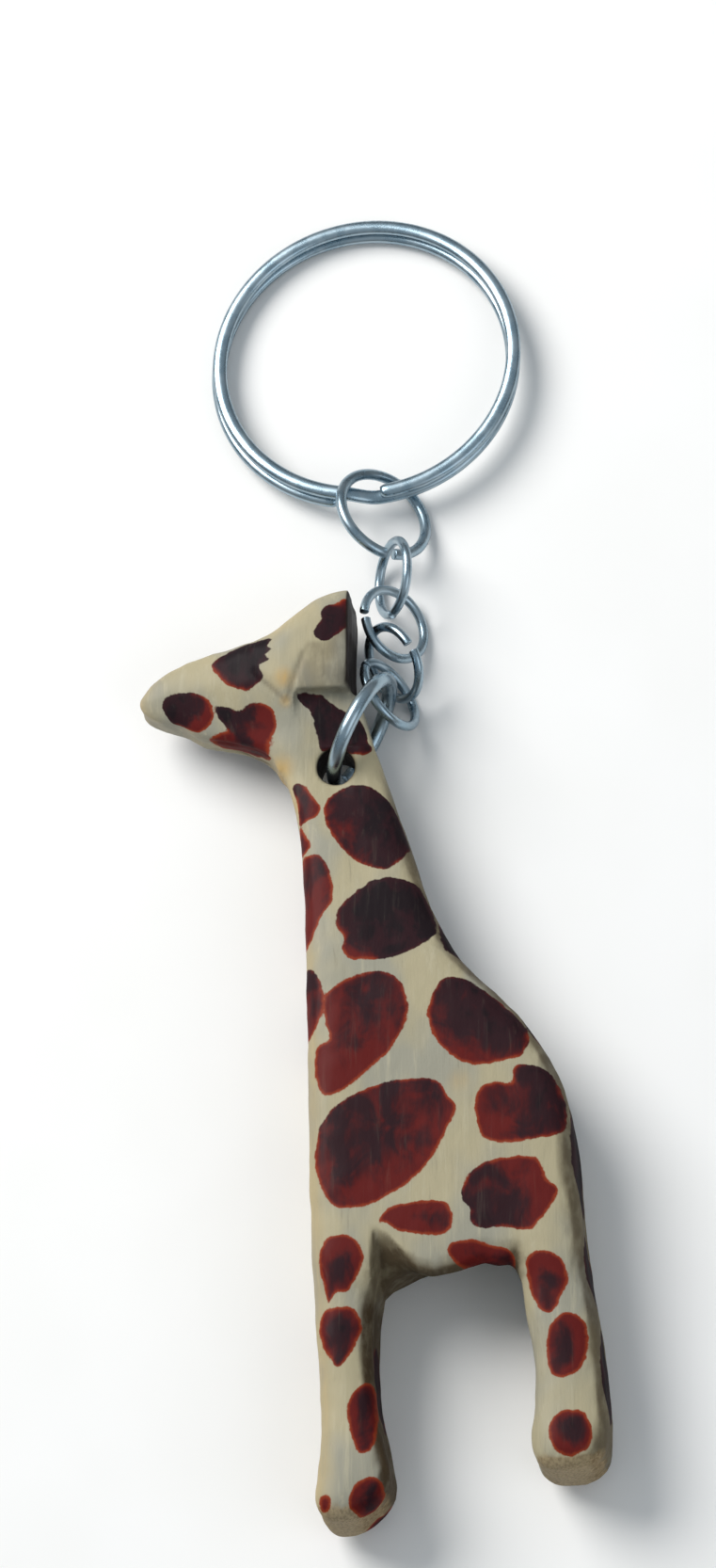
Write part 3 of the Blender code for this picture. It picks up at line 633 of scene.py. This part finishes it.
def painted_wood():
    """Pale close-grained wood with hand-painted spots under one coat of varnish."""
    look = Shader("painted_wood")
    streaks = look.noise((1.7, 0.11, 1.7), detail=5.0, roughness=0.62, distortion=0.3)
    fine = look.noise((9.0, 0.45, 9.0), detail=3.0)
    cloud = look.noise((0.16, 0.10, 0.16), detail=2.0)
    wood = look.mix(look.ramp(cloud, 0.38, 0.62), CREAM, CREAM_GREY)
    wood = look.mix(look.ramp(streaks, 0.50, 0.75, 0.0, 0.6), wood, CREAM_LIGHT)
    wood = look.mix(look.ramp(streaks, 0.40, 0.26, 0.0, 0.36), wood, GRAIN_LINE)
    wood = look.mix(look.ramp(fine, 0.44, 0.25, 0.0, 0.16), wood, GRAIN_LINE)
    stain = look.math("MULTIPLY", look.attribute("stain"), look.ramp(streaks, 0.2, 0.7, 0.5, 1.1))
    wood = look.mix(look.math("MULTIPLY", stain, 0.8), wood, YELLOW_STAIN)
    blotch = look.noise((0.9, 0.5, 0.9), detail=4.0)
    # brown painted shade in the corners and on the sides away from the key light, broken up by noise
    painted_shade = look.math("ADD", look.attribute("painted_shade"), look.ramp(blotch, 0.25, 0.6, -0.22, 0.0), clamp=True)
    wood = look.mix(painted_shade, wood, SHADE_BROWN)
    raw = look.mix(look.ramp(look.noise((4.0, 1.2, 4.0), detail=5.0), 0.35, 0.65), RAW_WOOD, RAW_WOOD_DARK)
    raw = look.mix(0.25, raw, wood)
    raw_edge = look.math("ADD", look.attribute("raw"), look.ramp(blotch, 0.3, 0.7, -0.22, 0.22))
    raw_edge = look.ramp(raw_edge, 0.15, 0.85)
    wood = look.mix(raw_edge, wood, raw)

    wobble = look.ramp(look.noise((1.1, 1.1, 1.1), detail=3.0), 0.25, 0.75, -0.09, 0.09)
    bristle = look.ramp(look.noise((6.0, 2.0, 6.0), detail=2.0), 0.25, 0.75, -0.02, 0.02)
    edge = look.math("ADD", look.attribute("spot_edge"), look.math("ADD", wobble, bristle))
    painted = look.ramp(edge, 0.07, -0.07)
    pool = look.noise((0.42, 0.30, 0.42), detail=3.0, distortion=0.6)
    brushed = look.noise((1.8, 0.5, 1.8), detail=4.0)
    dark = look.math("ADD", look.attribute("spot_dark"), look.ramp(pool, 0.25, 0.75, -0.26, 0.26))
    dark = look.math("ADD", dark, look.ramp(brushed, 0.25, 0.75, -0.07, 0.07))
    dark = look.math("ADD", dark, look.ramp(edge, -0.55, -0.05, 0.06, -0.22))
    paint = look.mix(look.ramp(dark, 0.18, 0.72), PAINT_RED, PAINT_PURPLE)
    paint = look.mix(look.ramp(dark, 0.80, 1.10, 0.0, 0.8), paint, PAINT_BLUE_BLACK)
    rim = look.math("MULTIPLY", look.ramp(edge, -0.38, -0.05), look.ramp(dark, 0.55, 0.10))
    paint = look.mix(rim, paint, PAINT_ORANGE)
    thin = look.math("MULTIPLY", look.ramp(streaks, 0.55, 0.80, 0.0, 0.06), painted)
    colour = look.mix(painted, wood, paint)
    colour = look.mix(thin, colour, wood)
    # painted shade on the wall of the cross hole, and stain with painted shade on the sawn back of the ear
    colour = look.mix(look.attribute("sawn"), colour, SAWN_STAIN_AND_SHADE)

    bare = look.ramp(painted, 0.0, 1.0, 1.0, 0.25)
    relief = look.bump(look.math("MULTIPLY", streaks, bare), 0.030)
    relief = look.bump(look.math("MULTIPLY", fine, bare), 0.012, relief)
    relief = look.bump(painted, 0.020, relief)
    relief = look.bump(look.noise((1.3, 0.6, 1.3), detail=3.0), 0.050, relief)
    rough = look.ramp(streaks, 0.2, 0.8, 0.60, 0.50)
    rough = look.math("ADD", rough, look.math("MULTIPLY", painted, 0.12))
    rough = look.math("ADD", rough, look.math("MULTIPLY", raw_edge, 0.35))
    rough = look.math("ADD", rough, look.math("MULTIPLY", look.attribute("painted_shade"), 0.35), clamp=True)
    look.set(Base_Color=colour, Roughness=rough, Normal=relief)
    look.set(Coat_Weight=0.05, Coat_Roughness=0.25, Specular_IOR_Level=0.12)
    return look.material


def plated_steel():
    """Grey plating with fine scuffs, its colour tinted blue as a painted reflection of the sky."""
    look = Shader("plated_steel")
    cloud = look.noise((0.5, 0.5, 0.5), detail=3.0)
    scuff = look.noise((7.0, 7.0, 7.0), detail=6.0, roughness=0.7)
    colour = look.mix(look.ramp(cloud, 0.35, 0.65), STEEL_DARK, STEEL_LIGHT)
    colour = look.mix(look.ramp(scuff, 0.62, 0.80, 0.0, 0.35), colour, STEEL_SCUFF)
    rough = look.math("ADD", look.ramp(cloud, 0.3, 0.7, 0.24, 0.32), look.ramp(scuff, 0.5, 0.8, 0.0, 0.10))
    look.set(Base_Color=colour, Roughness=rough, Metallic=1.0)
    look.set(Normal=look.bump(scuff, 0.002))
    return look.material


def pale_floor():
    look = Shader("pale_floor")
    grain = look.noise((0.05, 0.05, 0.05), detail=2.0)
    look.set(Base_Color=look.mix(look.ramp(grain, 0.3, 0.7), (0.86, 0.855, 0.845), (0.88, 0.875, 0.87)))
    look.set(Roughness=0.85)
    return look.material


def make_giraffe(material):
    giraffe = fine_copy("giraffe_carving", "carved_giraffe")
    mesh = giraffe.data
    carve(mesh)
    points = read_points(mesh)
    normals = read_normals(mesh)
    edge, dark = paint_fields(points)
    store(mesh, "spot_edge", edge)
    store(mesh, "spot_dark", dark)
    store(mesh, "sawn", sawn_stain_and_bore_shade_field(points, normals))
    store(mesh, "raw", raw_field(points, normals))
    store(mesh, "painted_shade", painted_shade_field(points, normals))
    store(mesh, "stain", stain_field(points, normals))
    mesh.materials.append(material)
    mesh.shade_smooth()
    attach(giraffe, "giraffe")
    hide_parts("giraffe_carving")


# ---------------------------------------------------------------- the rings

RING_SEGMENTS = 120
WIRE_SIDES = 20
END_ROUNDING = 0.16  # share of the wire's radius
END_STEPS = 3
SIDE_STEP = 0.07  # how far a closed ring's two cut ends miss each other
SIDE_STEP_ARC = 0.5  # radians over which they part

KEY_RING_OD = 30.0
KEY_BAND = 1.4
KEY_COIL_HEIGHT = 1.0
KEY_COIL_GAP = 0.12
KEY_RING_END = -84.0  # where the upper coil ends
KEY_RING_RAMP = 14.0  # arc over which the wire steps down to the lower coil
KEY_CUT_GAP = 0.3
KEY_SHIFT_ARC = 140.0  # arc over which the lower coil moves to its place
KEY_LOWER_SHIFT = (-0.25, -0.35)  # the lower coil lies a little to the side of the upper one
KEY_SEGMENTS = 420
KEY_SIDES = 24
KEY_SQUARENESS = 2.2
KEY_TIP_TAPER = 4.0  # arc over which the wire thins to each tip
KEY_TIP_SIZE = 0.7  # share of the full section that is left at a tip


def ring_frame(node):
    """Centre, axes, mean radius and wire radius of a wire ring of the frame; its cut is on the x axis."""
    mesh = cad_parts[node].data
    points = np.empty(len(mesh.vertices) * 3)
    mesh.vertices.foreach_get("co", points)
    points = np.unique(points.reshape(-1, 3).round(7), axis=0) / MM
    spread = points - points.mean(axis=0)
    normal = np.linalg.svd(spread, full_matrices=False)[2][2]
    normal = normal * (1.0 if normal[2] > 0 else -1.0)
    first = np.cross(normal, (0.0, 0.0, 1.0))
    first = first / np.linalg.norm(first)
    second = np.cross(normal, first)
    flat = np.stack((spread @ first, spread @ second), axis=1)
    system = np.column_stack((2 * flat, np.ones(len(flat))))
    answer = np.linalg.lstsq(system, (flat**2).sum(axis=1), rcond=None)[0]
    centre = points.mean(axis=0) + answer[0] * first + answer[1] * second
    flat = flat - answer[:2]
    reach = np.linalg.norm(flat, axis=1)
    angles = np.sort(np.arctan2(flat[:, 1], flat[:, 0]))
    gaps = np.diff(np.append(angles, angles[0] + 2 * math.pi))
    widest = int(gaps.argmax())
    cut = angles[widest] + gaps[widest] / 2
    to_cut = math.cos(cut) * first + math.sin(cut) * second
    axes = (to_cut, np.cross(normal, to_cut), normal)
    return centre, axes, (reach.max() + reach.min()) / 2, (reach.max() - reach.min()) / 2, gaps[widest]


def sweep(name, path, outwards, ups, sections):
    """A closed wire mesh along a path: at each point, the section's x goes outwards and its y up."""
    rings = []
    for centre, out, up, section in zip(path, outwards, ups, sections):
        rings.append(centre + section[:, :1] * out + section[:, 1:] * up)
    sides = len(sections[0])
    mesh = bpy.data.meshes.new(name)
    work = bmesh.new()
    rows = [[work.verts.new(tuple(p * MM)) for p in ring] for ring in rings]
    for row, next_row in zip(rows, rows[1:]):
        for side in range(sides):
            after = (side + 1) % sides
            work.faces.new((row[side], row[after], next_row[after], next_row[side]))
    work.faces.new(rows[0])
    work.faces.new(rows[-1])
    bmesh.ops.recalc_face_normals(work, faces=work.faces)
    work.to_mesh(mesh)
    work.free()
    mesh.shade_smooth()
    return new_piece(name, mesh)


def end_profile(count, radius_share):
    """Size of the wire's section along the wire: full, with a rounded edge at each cut end."""
    sizes = np.ones(count)
    for step in range(END_STEPS):
        share = (step + 1) / END_STEPS
        sizes[step] = 1.0 - radius_share * (1.0 - math.sqrt(1.0 - (1.0 - share) ** 2))
    sizes[-END_STEPS:] = sizes[:END_STEPS][::-1]
    return sizes


def make_wire_ring(node, name, body, material):
    centre, axes, radius, wire, gap = ring_frame(node)
    to_cut, along, normal = axes
    rounding = END_ROUNDING * wire
    start = gap / 2
    end = 2 * math.pi - gap / 2
    inner = np.linspace(start + rounding / radius, end - rounding / radius, RING_SEGMENTS)
    first = start + rounding / radius * np.linspace(0.0, 1.0, END_STEPS, endpoint=False)
    last = end - rounding / radius * np.linspace(1.0, 0.0, END_STEPS + 1)[1:]
    angles = np.concatenate((first, inner, last))
    sizes = end_profile(len(angles), END_ROUNDING * 2)
    turn = np.linspace(0.0, 2 * math.pi, WIRE_SIDES, endpoint=False)
    circle = np.stack((np.cos(turn), np.sin(turn)), axis=1) * wire
    path, outwards, ups, sections = [], [], [], []
    for angle, size in zip(angles, sizes):
        out = math.cos(angle) * to_cut + math.sin(angle) * along
        near_cut = math.exp(-((min(angle, 2 * math.pi - angle) / SIDE_STEP_ARC) ** 2))
        miss = SIDE_STEP * near_cut * (1.0 if angle < math.pi else -1.0)
        path.append(centre + out * radius + normal * miss)
        outwards.append(out)
        ups.append(normal)
        sections.append(circle * size)
    ring = sweep(name, path, outwards, ups, sections)
    ring.data.materials.append(material)
    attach(ring, body)
    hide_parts(node)


def squared(part):
    """A circle's cosine or sine, pushed outwards so that the section is nearer to a rectangle."""
    return np.sign(part) * np.abs(part) ** (2.0 / KEY_SQUARENESS)


def make_key_ring(material):
    """Two turns of flattened wire with a step between them and a thinned tip at each end."""
    centre, axes, _, _, _ = ring_frame("key_ring")
    normal = axes[2]
    across = np.array((1.0, 0.0, 0.0)) - normal * normal[0]
    across = across / np.linalg.norm(across)
    along = np.cross(normal, across)
    radius = (KEY_RING_OD - KEY_BAND) / 2
    level = (KEY_COIL_HEIGHT + KEY_COIL_GAP) / 2
    shift = across * KEY_LOWER_SHIFT[0] + along * KEY_LOWER_SHIFT[1]
    end_gap = math.degrees(KEY_CUT_GAP / radius)
    ramp_end = KEY_RING_END + 360.0 - end_gap
    ramp_start = ramp_end - KEY_RING_RAMP
    end = ramp_start + 360.0 - end_gap
    turn = np.linspace(0.0, 2 * math.pi, KEY_SIDES, endpoint=False)
    profile = np.stack(
        (squared(np.cos(turn)) * KEY_BAND / 2, squared(np.sin(turn)) * KEY_COIL_HEIGHT / 2), axis=1
    )
    path, outwards, ups, sections = [], [], [], []
    for angle in np.linspace(KEY_RING_END, end, KEY_SEGMENTS):
        share = float(smooth_step(ramp_start, ramp_end, angle))
        moved = float(smooth_step(ramp_start, ramp_start + KEY_SHIFT_ARC, angle))
        around = math.radians(angle)
        out = math.cos(around) * across + math.sin(around) * along
        to_end = min(angle - KEY_RING_END, end - angle)
        rise = math.sqrt(1.0 - (1.0 - min(to_end / KEY_TIP_TAPER, 1.0)) ** 2)
        taper = KEY_TIP_SIZE + (1.0 - KEY_TIP_SIZE) * rise
        path.append(centre + out * radius + normal * level * (1 - 2 * share) + shift * moved)
        outwards.append(out)
        ups.append(normal)
        sections.append(profile * np.array((taper, 0.5 + 0.5 * taper)))
    ring = sweep("split_key_ring", path, outwards, ups, sections)
    ring.data.materials.append(material)
    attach(ring, "split_ring")
    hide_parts("key_ring")


# ---------------------------------------------------------------- floor, light and camera


def make_floor():
    mesh = bpy.data.meshes.new("floor")
    work = bmesh.new()
    bmesh.ops.create_grid(work, x_segments=4, y_segments=4, size=FLOOR_HALF_SIZE)
    work.to_mesh(mesh)
    work.free()
    floor = new_piece("floor", mesh)
    floor.location.z = -FLOOR_DROP
    mesh.materials.append(pale_floor())


def area_light(name, place, size, power, colour):
    light = bpy.data.lights.new(name, "AREA")
    light.shape = "DISK"
    light.size = size
    light.energy = power
    light.color = colour
    lamp = bpy.data.objects.new(name, light)
    bpy.context.scene.collection.objects.link(lamp)
    lamp.location = place
    lamp.rotation_euler = (-Vector(place)).to_track_quat("-Z", "Y").to_euler()


def make_light():
    for name, lamp in LAMPS.items():
        area_light(name, *lamp)
    world = bpy.data.worlds.new("soft_sky")
    world.use_nodes = True
    nodes = world.node_tree.nodes
    links = world.node_tree.links
    split = nodes.new("ShaderNodeSeparateXYZ")
    links.new(nodes.new("ShaderNodeTexCoord").outputs["Generated"], split.inputs["Vector"])
    height = nodes.new("ShaderNodeMapRange")
    height.inputs["From Min"].default_value = SKY_BLEND[0]
    height.inputs["From Max"].default_value = SKY_BLEND[1]
    links.new(split.outputs["Z"], height.inputs["Value"])
    blend = nodes.new("ShaderNodeMix")
    blend.data_type = "RGBA"
    blend.inputs[6].default_value = (*SKY_LOW, 1.0)
    blend.inputs[7].default_value = (*SKY_HIGH, 1.0)
    links.new(height.outputs["Result"], blend.inputs["Factor"])
    sky = nodes["Background"]
    links.new(blend.outputs[2], sky.inputs["Color"])
    sky.inputs["Strength"].default_value = SKY_STRENGTH
    bpy.context.scene.world = world


def make_camera():
    azimuth = math.radians(VIEW_AZIMUTH)
    elevation = math.radians(VIEW_ELEVATION)
    flat = math.cos(elevation)
    back = Vector((math.sin(azimuth) * flat, -math.cos(azimuth) * flat, math.sin(elevation)))
    north = Vector((0.0, 1.0, 0.0))
    up = (north - back * north.dot(back)).normalized()
    right = up.cross(back)
    data = bpy.data.cameras.new("camera")
    data.sensor_fit = "VERTICAL"
    data.sensor_height = SENSOR
    data.lens = LENS
    data.clip_start = NEAREST_SEEN
    camera = bpy.data.objects.new("camera", data)
    bpy.context.scene.collection.objects.link(camera)
    target = Vector(np.array(VIEW_TARGET) - OFFSET) * MM
    place = target + back * VIEW_DISTANCE * MM
    turn = Matrix((right, up, back)).transposed().to_4x4()
    camera.matrix_world = Matrix.Translation(place) @ turn
    bpy.context.scene.camera = camera


make_camera()
wood = painted_wood()
steel = plated_steel()
make_giraffe(wood)
make_wire_ring("bail_ring", "bail_wire", "bail", steel)
for number in range(1, 5):
    make_wire_ring(f"chain_link_{number}", f"link_{number}_wire", f"link_{number}", steel)
make_wire_ring("jump_ring", "jump_ring_wire", "jump", steel)
make_key_ring(steel)
make_floor()
make_light()
bpy.context.scene.view_settings.view_transform = "Standard"
